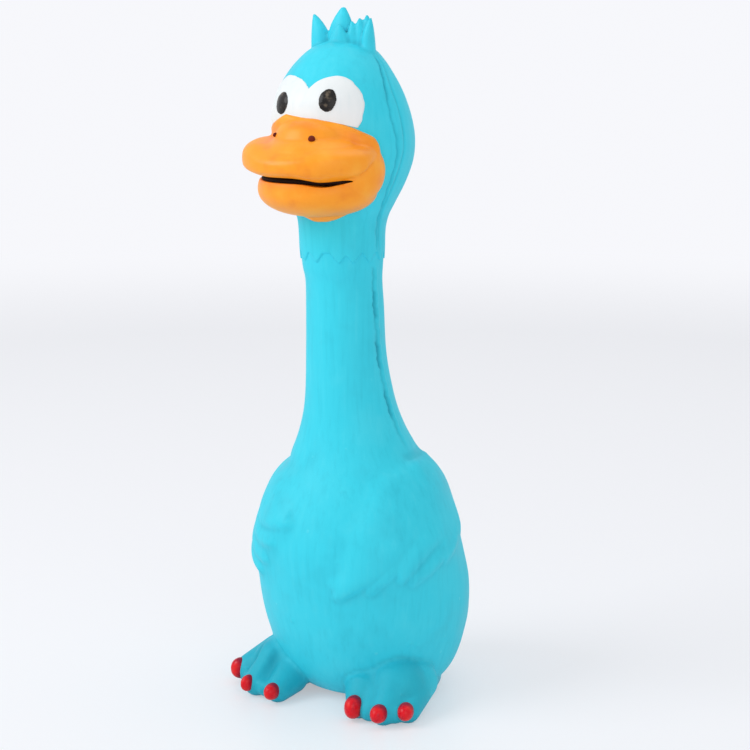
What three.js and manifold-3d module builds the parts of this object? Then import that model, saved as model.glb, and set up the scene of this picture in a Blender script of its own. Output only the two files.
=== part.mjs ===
// Squeaky dog toy: a long-necked latex bird that sits upright, stuffed with fibre over a bellows squeaker.
// Millimetres, +Z up. The bird faces -Y and its left side is +X.
// The origin is on the floor, under the middle of the toy's footprint.
import * as THREE from "three";
import { mergeVertices } from "three/addons/utils/BufferGeometryUtils.js";
import Module from "manifold-3d";

const wasm = await Module();
wasm.setup();

// Skin, from the floor up
const bodyHeight = 84;
const bellyRadius = 28.8;
const bellySetback = 4.6;
const neckLength = 33;
const neckRadius = 10.2;
const neckForward = 8;
const headHeight = 58;
const headRadius = 18.5;
const wall = 2.5;
const floorWall = 3;
const clearance = 0.3;
const overrun = 40;

// Wings
const wingRelief = 1.3;
const wingFeatherWidth = 7.5;
const wingFeatherDepth = 12;

// Crest
const crestHeight = 8;
const crestRoot = 8;
const crestSpread = 4.4;
const crestFeatherWidth = 3.7;
const crestFeatherThickness = 2.6;

// Feet and nails
const footReach = 25.5;
const footSpread = 28.2;
const ankleRadius = 9.2;
const ankleSpread = 17.4;
const ankleReach = 13;
const ankleHeight = 6.2;
const heelRadius = 6;
const heelSpread = 14.5;
const heelSetback = 7;
const heelHeight = 3.5;
const toeRadius = 3.2;
const webRadius = 2.4;
const webInset = 1;
const soleCut = 0.5;
const nailRadius = 2.45;
const nailReach = 2.9;
const nailAdvance = 1.6;
const nailLift = 0.4;

// Bill and mouth: widths and depths are shares of the head's radius, heights of the head's height
const mouthShare = 0.39;
const mouthGap = 1.5;
const billAdvanceShare = 0.68;
const lipShares = { wide: 1.02, deep: 0.97, tall: 0.085, up: 0.1 };
const bridgeShares = { wide: 0.78, deep: 0.79, tall: 0.124, up: 0.106 };
const humpShares = { wide: 0.59, deep: 0.57, tall: 0.15, ahead: 0.09, up: 0.138 };
const rootRise = 1.3;
const rootHalfWidthShare = 0.9;
const chinShares = { wide: 0.84, deep: 0.79, tall: 0.13, ahead: -0.04, up: -0.03 };
const cheekShares = { wide: 0.25, deep: 0.38, tall: 0.15, out: 0.74, ahead: -0.05, up: 0.05 };
const liningInset = 5.4;
const nostrilRadius = 0.85;
const nostrilSink = 0.35;
const nostrilShares = { wide: 0.51, deep: 0.74 };

// Colour coats of the face, laid into a shallow pocket in the head
const patchHalfWidthShare = 0.8;
const patchHeightShare = 0.228;
const patchBottomShare = 0.624;
const pocketDepth = 0.9;
const coatRise = 0.3;
const pupilSpreadShare = 0.362;
const pupilRiseShare = 0.745;
const pupilHalfWidth = 1.95;
const pupilHalfHeight = 2.7;

// Base plug and squeaker
const plugRadius = 8.5;
const plugFlangeRadius = 11.5;
const plugFlange = 1.6;
const plugRecess = 0.6;
const squeakerRadius = 13;
const plateThickness = 1.5;
const bellowsHeight = 16;
const bellowsDepth = 3.2;
const bellowsWall = 0.9;
const bellowsFolds = 4;
const stemRadius = 4;
const stemBore = 2.9;
const stemRecess = 1.5;
const fillGap = 0.8;

// Reed and its holder, inside the squeaker's stem
const holderRecess = 2;
const holderLength = 14;
const holderBore = 1.2;
const holderFlat = 0.8;
const slotWidth = 2;
const slotLength = 5;
const reedThickness = 0.4;
const reedWidth = 3;
const reedLength = 8.4;
const clipWall = 0.8;
const clipHeight = 2.2;

// Mesh fineness, in counts
const skinSides = 32;
const coreSides = 20;
const billSides = 20;
const ballSides = 12;
const limbSides = 10;
const roundSides = 24;
const featherSides = 9;
const arcSteps = 3;
const outlineSteps = 7;
const weldTolerance = 0.0001;

const sides = [
  { name: "left", sign: 1 },
  { name: "right", sign: -1 },
];

// Skin rows: height, half width, half depth and forward lean, as shares of the section's own sizes
const bodyRowShares = [
  [0, 0.5, 0.45, -0.4],
  [0.03, 0.69, 0.64, -0.4],
  [0.095, 0.845, 0.81, -0.4],
  [0.21, 0.951, 0.93, -0.36],
  [0.285, 0.99, 0.965, -0.27],
  [0.37, 1, 0.98, -0.14],
  [0.45, 0.98, 0.965, 0.04],
  [0.53, 0.944, 0.94, 0.19],
  [0.607, 0.875, 0.88, 0.23],
  [0.69, 0.778, 0.785, 0.24],
  [0.768, 0.642, 0.646, 0.3],
  [0.845, 0.524, 0.524, 0.48],
  [0.925, 0.444, 0.444, 0.63],
];
const neckRowShares = [
  [0, 1.137, 1.137, 0.76],
  [0.3, 1.04, 1.04, 0.93],
  [0.7, 1, 1, 1],
  [0.9, 0.985, 0.985, 1.06],
];
const headRowShares = [
  [0, 0.565, 0.565, 1.12],
  [0.155, 0.605, 0.605, 1.155],
  [0.224, 0.638, 0.65, 1.12],
  [0.284, 0.724, 0.735, 1.095],
  [0.374, 0.86, 0.876, 1.07],
  [0.476, 0.973, 1.005, 1.095],
  [0.569, 1, 1.038, 1.12],
  [0.655, 0.973, 1.016, 1.19],
  [0.741, 0.903, 0.951, 1.26],
  [0.802, 0.832, 0.854, 1.286],
  [0.855, 0.73, 0.735, 1.238],
  [0.909, 0.605, 0.605, 1.167],
  [0.96, 0.432, 0.432, 1.095],
  [0.99, 0.22, 0.22, 1.07],
  [1, 0.08, 0.08, 1.07],
];

const neckTop = bodyHeight + neckLength;
const crown = neckTop + headHeight;

function sectionRows(shares, bottom, height, radius) {
  return shares.map(([up, wide, deep, lean]) => [
    bottom + up * height,
    wide * radius,
    deep * radius,
    bellySetback - lean * neckForward,
  ]);
}

const skinRows = [
  ...sectionRows(bodyRowShares, 0, bodyHeight, bellyRadius),
  ...sectionRows(neckRowShares, bodyHeight, neckLength, neckRadius),
  ...sectionRows(headRowShares, neckTop, headHeight, headRadius),
];
const rowHeights = skinRows.map((row) => row[0]);
const rowSizes = skinRows.flatMap(([, ...sizes]) => sizes);
const rowCurve = new THREE.CubicInterpolant(rowHeights, rowSizes, rowSizes.length / rowHeights.length);

function skinAt(height) {
  const [halfWidth, halfDepth, axis] = rowCurve.evaluate(height);
  return { halfWidth, halfDepth, axis };
}

function ringAt(height, grow, count) {
  const { halfWidth, halfDepth, axis } = skinAt(height);
  return Array.from({ length: count }, (_, index) => {
    const turn = (index / count) * 2 * Math.PI;
    return new THREE.Vector3(
      (halfWidth + grow) * Math.cos(turn),
      axis + (halfDepth + grow) * Math.sin(turn),
      height,
    );
  });
}

// Ring heights from one level to another, with each row interval split into equal parts
function levels(bottom, top, parts) {
  const marks = [bottom, ...rowHeights.filter((height) => height > bottom && height < top), top];
  const heights = [];
  marks.slice(1).forEach((mark, index) => {
    for (let part = 0; part < parts; part += 1) {
      heights.push(marks[index] + ((mark - marks[index]) * part) / parts);
    }
  });
  return [...heights, top];
}

// A closed body through rings that run anticlockwise from above, bottom ring first
function loft(rings) {
  const count = rings[0].length;
  const sumOf = (ring) => ring.reduce((sum, point) => sum.add(point), new THREE.Vector3());
  const middle = (ring) => sumOf(ring).divideScalar(count);
  const points = [...rings.flat(), middle(rings[0]), middle(rings.at(-1))];
  const bottomCentre = points.length - 2;
  const topCentre = points.length - 1;
  const lastRing = (rings.length - 1) * count;
  const faces = [];
  for (let index = 0; index < count; index += 1) {
    const next = (index + 1) % count;
    for (let base = 0; base < lastRing; base += count) {
      faces.push(base + index, base + next, base + count + next);
      faces.push(base + index, base + count + next, base + count + index);
    }
    faces.push(bottomCentre, next, index);
    faces.push(topCentre, lastRing + index, lastRing + next);
  }
  const geometry = new THREE.BufferGeometry().setFromPoints(points);
  geometry.setIndex(faces);
  return geometry;
}

// A three.js geometry as a solid: welded, without collapsed faces, facing out
function solidOf(source) {
  const bare = source.clone();
  bare.deleteAttribute("normal");
  bare.deleteAttribute("uv");
  const welded = mergeVertices(bare, weldTolerance);
  const vertProperties = new Float32Array(welded.attributes.position.array);
  const index = welded.index.array;
  const at = (corner) => new THREE.Vector3().fromArray(vertProperties, corner * 3);
  const faces = [];
  let volume = 0;
  for (let face = 0; face < index.length; face += 3) {
    const [a, b, c] = index.slice(face, face + 3);
    if (a !== b && b !== c && c !== a) {
      faces.push([a, b, c]);
      volume += at(a).dot(at(b).cross(at(c)));
    }
  }
  const outward = volume < 0 ? faces.map((face) => face.reverse()) : faces;
  const triVerts = Uint32Array.from(outward.flat());
  return new wasm.Manifold(new wasm.Mesh({ numProp: 3, vertProperties, triVerts }));
}

function geometryOf(solid) {
  const { vertProperties, triVerts } = solid.getMesh();
  const indexed = new THREE.BufferGeometry();
  indexed.setAttribute("position", new THREE.BufferAttribute(vertProperties, 3));
  indexed.setIndex(new THREE.BufferAttribute(triVerts, 1));
  const flat = indexed.toNonIndexed();
  flat.computeVertexNormals();
  return flat;
}

function joined(solids) {
  return solids.reduce((sum, solid) => sum.add(solid));
}

function skinSolid(bottom, top, grow, count, parts) {
  return solidOf(loft(levels(bottom, top, parts).map((height) => ringAt(height, grow, count))));
}

// A box from one corner to the opposite one
function block(low, high) {
  const size = high.clone().sub(low);
  const geometry = new THREE.BoxGeometry(size.x, size.y, size.z);
  const centre = low.clone().add(high).divideScalar(2);
  return solidOf(geometry.translate(centre.x, centre.y, centre.z));
}

function above(height) {
  const low = new THREE.Vector3(-overrun, -overrun, height);
  return block(low, new THREE.Vector3(overrun, overrun, height + overrun));
}

// An ellipsoid; a power under one gives it a thick rim and a flatter top
function ellipsoid(centre, radii, power = 1, count = billSides) {
  const geometry = new THREE.SphereGeometry(1, count, count / 2);
  geometry.rotateX(Math.PI / 2);
  const places = geometry.attributes.position;
  for (let index = 0; index < places.count; index += 1) {
    const point = new THREE.Vector3().fromBufferAttribute(places, index);
    const ring = Math.hypot(point.x, point.y);
    const swell = ring > weldTolerance ? ring ** (power - 1) : 1;
    const height = Math.sign(point.z) * Math.abs(point.z) ** power;
    point.set(point.x * swell, point.y * swell, height).multiply(radii).add(centre);
    places.setXYZ(index, point.x, point.y, point.z);
  }
  return solidOf(geometry);
}

// A turned body about a vertical axis at the given place, from a closed profile of radius and height
function turned(profile, centre, count = roundSides) {
  const points = profile.map(([radius, height]) => new THREE.Vector2(radius, height));
  const geometry = new THREE.LatheGeometry([...points, points[0]], count);
  geometry.rotateX(Math.PI / 2);
  return solidOf(geometry.translate(centre.x, centre.y, 0));
}

function disc(radius, bottom, top, centre, count = roundSides) {
  return turned([[0, bottom], [radius, bottom], [radius, top], [0, top]], centre, count);
}

function pipe(inner, outer, bottom, top, centre, count = roundSides) {
  return turned([[inner, bottom], [outer, bottom], [outer, top], [inner, top]], centre, count);
}

// A round limb that tapers between two balls
function limb(start, end, startRadius, endRadius) {
  const along = end.clone().sub(start);
  const length = along.length();
  const profile = [];
  for (let step = 0; step <= arcSteps; step += 1) {
    const turn = ((step / arcSteps) * Math.PI) / 2;
    profile.push(new THREE.Vector2(Math.sin(turn) * startRadius, -Math.cos(turn) * startRadius));
  }
  for (let step = 0; step <= arcSteps; step += 1) {
    const turn = ((step / arcSteps) * Math.PI) / 2;
    profile.push(new THREE.Vector2(Math.cos(turn) * endRadius, length + Math.sin(turn) * endRadius));
  }
  const geometry = new THREE.LatheGeometry(profile, limbSides);
  const up = new THREE.Vector3(0, 1, 0);
  geometry.applyQuaternion(new THREE.Quaternion().setFromUnitVectors(up, along.normalize()));
  return solidOf(geometry.translate(start.x, start.y, start.z));
}

// A ball stretched along one direction, with its depth on the outward side
function ballAlong(centre, along, outward, radii, count = ballSides) {
  const forward = along.clone().normalize();
  const across = outward.clone().cross(forward).normalize();
  const depth = forward.clone().cross(across);
  const stretch = new THREE.Matrix4().makeBasis(
    forward.multiplyScalar(radii.x),
    across.multiplyScalar(radii.y),
    depth.multiplyScalar(radii.z),
  );
  const geometry = new THREE.SphereGeometry(1, count, count / 2);
  return solidOf(geometry.applyMatrix4(stretch.setPosition(centre)));
}

function grown(radii, by) {
  return radii.clone().addScalar(by);
}

// Materials
function coat(color, roughness) {
  return new THREE.MeshStandardMaterial({ color, roughness, metalness: 0 });
}
const latexBlue = coat(0x46d3e6, 0.55);
const latexOrange = coat(0xff9d2b, 0.5);
const latexWhite = coat(0xf2f2f4, 0.55);
const latexBlack = coat(0x161412, 0.35);
const latexRed = coat(0xe8203a, 0.3);
const fibre = coat(0xf4f4f0, 0.95);
const vinyl = coat(0xe9e4d8, 0.5);
const hardPlastic = coat(0xf6f6f6, 0.35);
const reedFilm = coat(0xd8b060, 0.3);

const toy = new THREE.Group();

function addPiece(name, solid, material) {
  const mesh = new THREE.Mesh(geometryOf(solid), material.clone());
  mesh.name = name;
  toy.add(mesh);
}

const bellyCentre = new THREE.Vector3(0, bellySetback - bodyRowShares[0][3] * neckForward, 0);
const hollowTopShare = 0.93;
const headHollowTop = neckTop + hollowTopShare * headHeight;

// Wings: feathers that fan from each shoulder and follow the belly as a low relief
const wingShoulderShares = [0.72, 0.3, 0.68];
const wingTipShares = [
  [0.33, -0.92, 0.39],
  [0.6, -0.78, 0.41],
  [0.8, -0.54, 0.44],
  [0.94, -0.16, 0.48],
  [0.86, 0.45, 0.54],
];
const wingTopShare = 0.86;

function onBelly([wide, deep, up], sign) {
  return new THREE.Vector3(sign * wide * bellyRadius, bellySetback + deep * bellyRadius, up * bodyHeight);
}

function wingFeather(sign, tipShares) {
  const shoulder = onBelly(wingShoulderShares, sign);
  const tip = onBelly(tipShares, sign);
  const centre = shoulder.clone().add(tip).divideScalar(2);
  const outward = new THREE.Vector3(centre.x, centre.y - bellySetback, 0);
  const reach = (shoulder.distanceTo(tip) + wingFeatherWidth) / 2;
  const radii = new THREE.Vector3(reach, wingFeatherWidth, wingFeatherDepth);
  return ballAlong(centre, tip.sub(shoulder), outward, radii, billSides);
}

function wings() {
  const feathers = sides.flatMap(({ sign }) => wingTipShares.map((tip) => wingFeather(sign, tip)));
  return joined(feathers).intersect(skinSolid(soleCut, bodyHeight * wingTopShare, wingRelief, skinSides, 1));
}

// Body skin: belly and wings in one, open at the neck and at the plug hole
function bodySkin() {
  const outer = skinSolid(0, bodyHeight, 0, skinSides, 1).add(wings());
  const hollow = skinSolid(floorWall, bodyHeight + wall, -wall, coreSides, 1);
  const plugHole = disc(plugRadius + clearance, -overrun, floorWall + clearance, bellyCentre);
  return outer.subtract(hollow).subtract(plugHole);
}

// Feet: three toes with webs between them, cut flat under the sole and cut by the belly
const toeShares = [
  { name: "inner", wide: 0.436, deep: 1 },
  { name: "middle", wide: 0.727, deep: 0.976 },
  { name: "outer", wide: 1, deep: 0.7 },
];

function toesOf(sign) {
  const ankle = new THREE.Vector3(sign * ankleSpread, bellySetback - ankleReach, ankleHeight);
  return toeShares.map(({ name, wide, deep }) => {
    const ahead = bellySetback - deep * footReach;
    const nail = new THREE.Vector3(sign * wide * footSpread, ahead, toeRadius - soleCut);
    const heading = nail.clone().sub(ankle).setZ(0).normalize();
    const end = nail.clone().addScaledVector(heading, -nailAdvance);
    nail.z += nailLift;
    return { name, ankle, heading, end, nail };
  });
}

function nailBall({ nail, heading }, by) {
  const radii = new THREE.Vector3(nailReach, nailRadius, nailRadius);
  return ballAlong(nail, heading, new THREE.Vector3(0, 0, 1), grown(radii, by));
}

function foot(sign) {
  const toes = toesOf(sign);
  const limbs = toes.map(({ ankle, end }) => limb(ankle, end, ankleRadius, toeRadius));
  const webs = toes.slice(1).map(({ ankle, end }, index) => {
    const between = end.clone().add(toes[index].end).divideScalar(2);
    const back = ankle.clone().sub(between).setZ(0).normalize();
    return limb(ankle, between.addScaledVector(back, webInset), ankleRadius, webRadius);
  });
  const heel = new THREE.Vector3(sign * heelSpread, bellySetback + heelSetback, heelHeight);
  const sole = limb(toes[0].ankle, heel, ankleRadius, heelRadius);
  const sockets = toes.map((toe) => nailBall(toe, clearance));
  const belly = skinSolid(-overrun / 2, bodyHeight / 2, clearance, skinSides, 1);
  return joined([...limbs, ...webs, sole]).intersect(above(0)).subtract(belly).subtract(joined(sockets));
}

// Squeaker: plug, plate with its stem, bellows and top, stacked on the floor of the belly
const flangeBottom = floorWall + clearance;
const flangeTop = flangeBottom + plugFlange;
const plateBottom = flangeTop + clearance;
const plateTop = plateBottom + plateThickness;
const bellowsBottom = plateTop + clearance;
const bellowsTop = bellowsBottom + bellowsHeight;
const pressBottom = bellowsTop + clearance;
const pressTop = pressBottom + plateThickness;

function basePlug() {
  const bore = stemRadius + clearance;
  const profile = [
    [bore, plugRecess],
    [plugRadius, plugRecess],
    [plugRadius, flangeBottom],
    [plugFlangeRadius, flangeBottom],
    [plugFlangeRadius, flangeTop],
    [bore, flangeTop],
  ];
  return turned(profile, bellyCentre);
}

function squeakerPlate() {
  const profile = [
    [stemBore, stemRecess],
    [stemRadius, stemRecess],
    [stemRadius, plateBottom],
    [squeakerRadius, plateBottom],
    [squeakerRadius, plateTop],
    [stemBore, plateTop],
  ];
  return turned(profile, bellyCentre);
}

function bellows() {
  const steps = Array.from({ length: 2 * bellowsFolds + 1 }, (_, step) => step);
  const outer = steps.map((step) => [
    squeakerRadius - (step % 2 === 0 ? bellowsDepth : 0),
    bellowsBottom + (step / (2 * bellowsFolds)) * bellowsHeight,
  ]);
  const inner = outer.map(([radius, height]) => [radius - bellowsWall, height]).reverse();
  return turned([...outer, ...inner], bellyCentre);
}

// Reed: a thin tongue over a slotted holder, held at its foot by a clip
const clipTop = bellowsBottom + clipHeight;
const reedBack = bellyCentre.y + holderFlat + clearance;
const reedFront = reedBack + reedThickness;
const slotBottom = clipTop + clearance;

function reedHolder() {
  const top = holderRecess + holderLength;
  const round = disc(stemBore - clearance, holderRecess, top, bellyCentre, coreSides);
  const bore = disc(holderBore, -overrun, slotBottom + slotLength / 2, bellyCentre, coreSides);
  const flat = block(
    new THREE.Vector3(-overrun, bellyCentre.y + holderFlat, bellowsBottom),
    new THREE.Vector3(overrun, bellyCentre.y + overrun, top + overrun),
  );
  const slot = block(
    new THREE.Vector3(-slotWidth / 2, bellyCentre.y, slotBottom),
    new THREE.Vector3(slotWidth / 2, bellyCentre.y + overrun, slotBottom + slotLength),
  );
  return round.subtract(flat).subtract(bore).subtract(slot);
}

function reed() {
  const foot = bellowsBottom + clearance;
  return block(
    new THREE.Vector3(-reedWidth / 2, reedBack, foot),
    new THREE.Vector3(reedWidth / 2, reedFront, foot + reedLength),
  );
}

function reedClip() {
  const ring = pipe(stemBore, stemBore + clipWall, bellowsBottom, clipTop, bellyCentre, coreSides);
  const key = disc(stemBore + clipWall / 2, bellowsBottom, clipTop, bellyCentre, coreSides);
  const keySide = block(
    new THREE.Vector3(-overrun, reedFront + clearance, 0),
    new THREE.Vector3(overrun, bellyCentre.y + overrun, overrun),
  );
  return ring.add(key.intersect(keySide));
}

// Fibre fill, clear of the skin and of the squeaker
function bodyFill() {
  const fill = skinSolid(flangeBottom, bodyHeight, -wall - clearance, coreSides, 1);
  return fill.subtract(disc(squeakerRadius + fillGap, -overrun, pressTop + fillGap, bellyCentre));
}

function neckSkin() {
  const outer = skinSolid(bodyHeight, neckTop, 0, skinSides, 2);
  return outer.subtract(skinSolid(bodyHeight - wall, neckTop + wall, -wall, coreSides, 1));
}

// Crest: flat pointed feathers side by side, leaning out from the crown
const crestFeatherShares = [
  { side: -1, front: 0, rise: 0.8 },
  { side: 1, front: 0.1, rise: 0.76 },
  { side: 0, front: 0, rise: 1 },
  { side: 0.1, front: 0.45, rise: 0.3 },
  { side: 0.6, front: -0.4, rise: 0.55 },
  { side: -0.5, front: -0.4, rise: 0.2 },
];
const featherRowShares = [
  [0, 1],
  [0.5, 1],
  [0.75, 0.75],
  [0.92, 0.35],
  [1, 0.06],
];
const crestLeanShare = 0.65;

function crestFeather({ side, front, rise }) {
  const root = crown - crestRoot;
  const height = crestRoot + rise * crestHeight;
  const axis = skinAt(crown).axis;
  const rings = featherRowShares.map(([up, wide]) => {
    const out = crestSpread * (1 + crestLeanShare * up);
    return Array.from({ length: featherSides }, (_, index) => {
      const turn = (index / featherSides) * 2 * Math.PI;
      return new THREE.Vector3(
        side * out + wide * crestFeatherWidth * Math.cos(turn),
        axis - front * out + wide * crestFeatherThickness * Math.sin(turn),
        root + up * height,
      );
    });
  });
  return solidOf(loft(rings));
}

// Eye patch: two joined lobes over the bill, in shares of its own half width and height
const patchNotchShares = [0, 0.73];
const patchCurveShares = [
  [[0.1, 0.86], [0.26, 0.98], [0.47, 0.98]],
  [[0.84, 0.98], [1.08, 0.46], [0.93, 0.02]],
  [[0.66, 0.11], [0.34, 0.2], [0, 0.2]],
];

// Bill: a broad lip, a bridge and a nose hump above the mouth, a chin below and a cheek on each side
const mouthHeight = neckTop + mouthShare * headHeight;
const upperLip = mouthHeight + mouthGap;
const lipPower = 0.78;
const billAxis = skinAt(mouthHeight).axis - billAdvanceShare * headRadius;

function billCentre({ out = 0, ahead = 0, up = 0 }, sign = 1) {
  return new THREE.Vector3(
    sign * out * headRadius,
    billAxis - ahead * headRadius,
    mouthHeight + up * headHeight,
  );
}

function billRadii({ wide, deep, tall }) {
  return new THREE.Vector3(wide * headRadius, deep * headRadius, tall * headHeight);
}

function lipAndHump(by) {
  const lip = ellipsoid(billCentre(lipShares), grown(billRadii(lipShares), by), lipPower);
  const bridge = ellipsoid(billCentre(bridgeShares), grown(billRadii(bridgeShares), by));
  const hump = ellipsoid(billCentre(humpShares), grown(billRadii(humpShares), by));
  return joined([lip, bridge, hump]).intersect(above(upperLip - by));
}

function cheeks(by) {
  const radii = grown(billRadii(cheekShares), by);
  return joined(sides.map(({ sign }) => ellipsoid(billCentre(cheekShares, sign), radii)));
}

function head(by) {
  return skinSolid(neckTop, crown, by, skinSides, 1);
}

function nostrilBall(sign, by) {
  const radii = billRadii(humpShares);
  const { wide, deep } = nostrilShares;
  const rise = radii.z * Math.sqrt(1 - wide ** 2 - deep ** 2) - nostrilSink;
  const centre = billCentre(humpShares);
  centre.add(new THREE.Vector3(sign * wide * radii.x, -deep * radii.y, rise));
  const size = new THREE.Vector3(nostrilRadius, nostrilRadius, nostrilRadius);
  return ellipsoid(centre, grown(size, by), 1, ballSides);
}

// The bill's root, a low relief on the face from the upper lip to the eye patch
function billRoot() {
  const [, , bottomCurve] = patchCurveShares;
  const halfWidth = rootHalfWidthShare * headRadius;
  const outline = new THREE.Shape();
  const drop = ([across, height]) => [across, height - clearance];
  const stops = [patchCurveShares[1].at(-1), ...bottomCurve];
  const back = stops.map(([wide, up]) => [-wide, up]).reverse();
  outline.moveTo(-halfWidth, upperLip);
  outline.lineTo(halfWidth, upperLip);
  outline.lineTo(...drop(patchPlace(stops[0])));
  outline.bezierCurveTo(...bottomCurve.flatMap((stop) => drop(patchPlace(stop))));
  outline.bezierCurveTo(...back.slice(1).flatMap((stop) => drop(patchPlace(stop))));
  return facePrism(outline, 0, outlineSteps).intersect(head(rootRise));
}

function upperBill() {
  const sockets = sides.map(({ sign }) => nostrilBall(sign, clearance));
  const low = new THREE.Vector3(-overrun, billCentre(cheekShares).y, mouthHeight);
  const behindCheeks = block(low, new THREE.Vector3(overrun, overrun, crown));
  const whole = lipAndHump(0).add(billRoot()).subtract(behindCheeks).subtract(joined(sockets));
  return whole.subtract(head(clearance)).subtract(cheeks(clearance));
}

function lowerBill() {
  const chin = ellipsoid(billCentre(chinShares), billRadii(chinShares));
  return chin.subtract(above(mouthHeight)).add(cheeks(0)).subtract(head(clearance));
}

function mouthLining() {
  const { x, y } = billRadii(lipShares);
  const radii = new THREE.Vector3(x - liningInset, y - liningInset, y);
  const slab = above(mouthHeight + clearance).subtract(above(upperLip - clearance));
  const lining = ellipsoid(billCentre({}), radii).intersect(slab);
  return lining.subtract(head(clearance)).subtract(cheeks(clearance));
}

// Eye patch, pupils and the prisms that cut them out of the face
function patchPlace([wide, up]) {
  const height = patchBottomShare + up * patchHeightShare;
  return [wide * patchHalfWidthShare * headRadius, neckTop + height * headHeight];
}

function patchOutline() {
  const outline = new THREE.Shape();
  outline.moveTo(...patchPlace(patchNotchShares));
  for (const curve of patchCurveShares) {
    outline.bezierCurveTo(...curve.flatMap(patchPlace));
  }
  const stops = [patchNotchShares, ...patchCurveShares.flat()];
  const back = stops.map(([wide, up]) => [-wide, up]).reverse();
  const stride = patchCurveShares[0].length;
  for (let stop = 1; stop < back.length; stop += stride) {
    outline.bezierCurveTo(...back.slice(stop, stop + stride).flatMap(patchPlace));
  }
  return outline;
}

function pupilOutline(sign) {
  const outline = new THREE.Shape();
  const across = sign * pupilSpreadShare * headRadius;
  const height = neckTop + pupilRiseShare * headHeight;
  outline.absellipse(across, height, pupilHalfWidth, pupilHalfHeight, 0, 2 * Math.PI);
  return outline;
}

// A prism through the face from an upright outline, grown by a margin
function facePrism(outline, by, curveSegments) {
  const geometry = new THREE.ExtrudeGeometry(outline, {
    depth: overrun,
    bevelEnabled: by > 0,
    bevelSize: by,
    bevelThickness: by,
    bevelSegments: 1,
    curveSegments,
  });
  geometry.rotateX(Math.PI / 2);
  return solidOf(geometry.translate(0, skinAt(mouthHeight).axis, 0));
}

function coatOf(prism) {
  return prism.intersect(head(coatRise)).subtract(head(clearance - pocketDepth));
}

function eyePatch() {
  const pupils = sides.map(({ sign }) => facePrism(pupilOutline(sign), clearance, outlineSteps));
  const patch = coatOf(facePrism(patchOutline(), 0, outlineSteps));
  return patch.subtract(joined(pupils)).subtract(lipAndHump(clearance)).subtract(cheeks(clearance));
}

function headSkin() {
  const outer = joined([head(0), ...crestFeatherShares.map(crestFeather)]);
  const hollow = skinSolid(neckTop - wall, headHollowTop, -wall, coreSides, 1);
  const pocket = facePrism(patchOutline(), clearance, outlineSteps).subtract(head(-pocketDepth));
  return outer.subtract(hollow).subtract(pocket);
}

addPiece("body_skin", bodySkin(), latexBlue);
for (const { name, sign } of sides) {
  addPiece(`foot_${name}`, foot(sign), latexBlue);
  for (const toe of toesOf(sign)) {
    addPiece(`nail_${name}_${toe.name}`, nailBall(toe, 0), latexRed);
  }
}
addPiece("base_plug", basePlug(), latexBlue);
addPiece("squeaker_plate", squeakerPlate(), hardPlastic);
addPiece("squeaker_bellows", bellows(), vinyl);
addPiece("squeaker_top", disc(squeakerRadius, pressBottom, pressTop, bellyCentre), hardPlastic);
addPiece("reed_holder", reedHolder(), hardPlastic);
addPiece("reed", reed(), reedFilm);
addPiece("reed_clip", reedClip(), hardPlastic);
addPiece("body_fill", bodyFill(), fibre);
addPiece("neck_skin", neckSkin(), latexBlue);
addPiece("neck_fill", skinSolid(bodyHeight, neckTop, -wall - clearance, coreSides, 1), fibre);
addPiece("head_skin", headSkin(), latexBlue);
addPiece("head_fill", skinSolid(neckTop, headHollowTop - clearance, -wall - clearance, coreSides, 1), fibre);
addPiece("upper_bill", upperBill(), latexOrange);
addPiece("lower_bill", lowerBill(), latexOrange);
addPiece("mouth_lining", mouthLining(), latexBlack);
addPiece("eye_patch", eyePatch(), latexWhite);
for (const { name, sign } of sides) {
  addPiece(`pupil_${name}`, coatOf(facePrism(pupilOutline(sign), 0, outlineSteps)), latexBlack);
  addPiece(`nostril_${name}`, nostrilBall(sign, 0), latexBlack);
}

export default toy;
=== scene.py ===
import math

import bpy
import numpy as np
from mathutils import Matrix, Vector, geometry
from mathutils.bvhtree import BVHTree


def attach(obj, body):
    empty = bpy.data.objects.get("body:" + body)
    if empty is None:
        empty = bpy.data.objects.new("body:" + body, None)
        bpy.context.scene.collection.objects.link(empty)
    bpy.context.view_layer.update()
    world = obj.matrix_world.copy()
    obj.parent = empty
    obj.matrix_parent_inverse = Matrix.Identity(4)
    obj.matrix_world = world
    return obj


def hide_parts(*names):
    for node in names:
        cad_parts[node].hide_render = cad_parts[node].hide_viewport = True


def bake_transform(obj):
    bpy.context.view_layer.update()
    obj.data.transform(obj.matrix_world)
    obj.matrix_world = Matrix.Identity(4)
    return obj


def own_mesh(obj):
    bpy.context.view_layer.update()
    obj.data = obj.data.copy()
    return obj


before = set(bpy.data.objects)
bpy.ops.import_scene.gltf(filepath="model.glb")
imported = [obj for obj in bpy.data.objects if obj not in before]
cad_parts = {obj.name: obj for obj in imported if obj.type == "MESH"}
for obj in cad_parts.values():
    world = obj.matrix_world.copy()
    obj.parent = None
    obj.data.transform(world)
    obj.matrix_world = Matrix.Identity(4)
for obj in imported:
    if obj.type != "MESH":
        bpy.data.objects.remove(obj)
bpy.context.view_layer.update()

# The bird faces -Y and its left side is +X. Sizes in the tables are millimetres, as in the part.
MM = 0.001
SIDES = (("left", 1), ("right", -1))
FAR_AHEAD = -60      # y of a place in front of the whole bird

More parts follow.
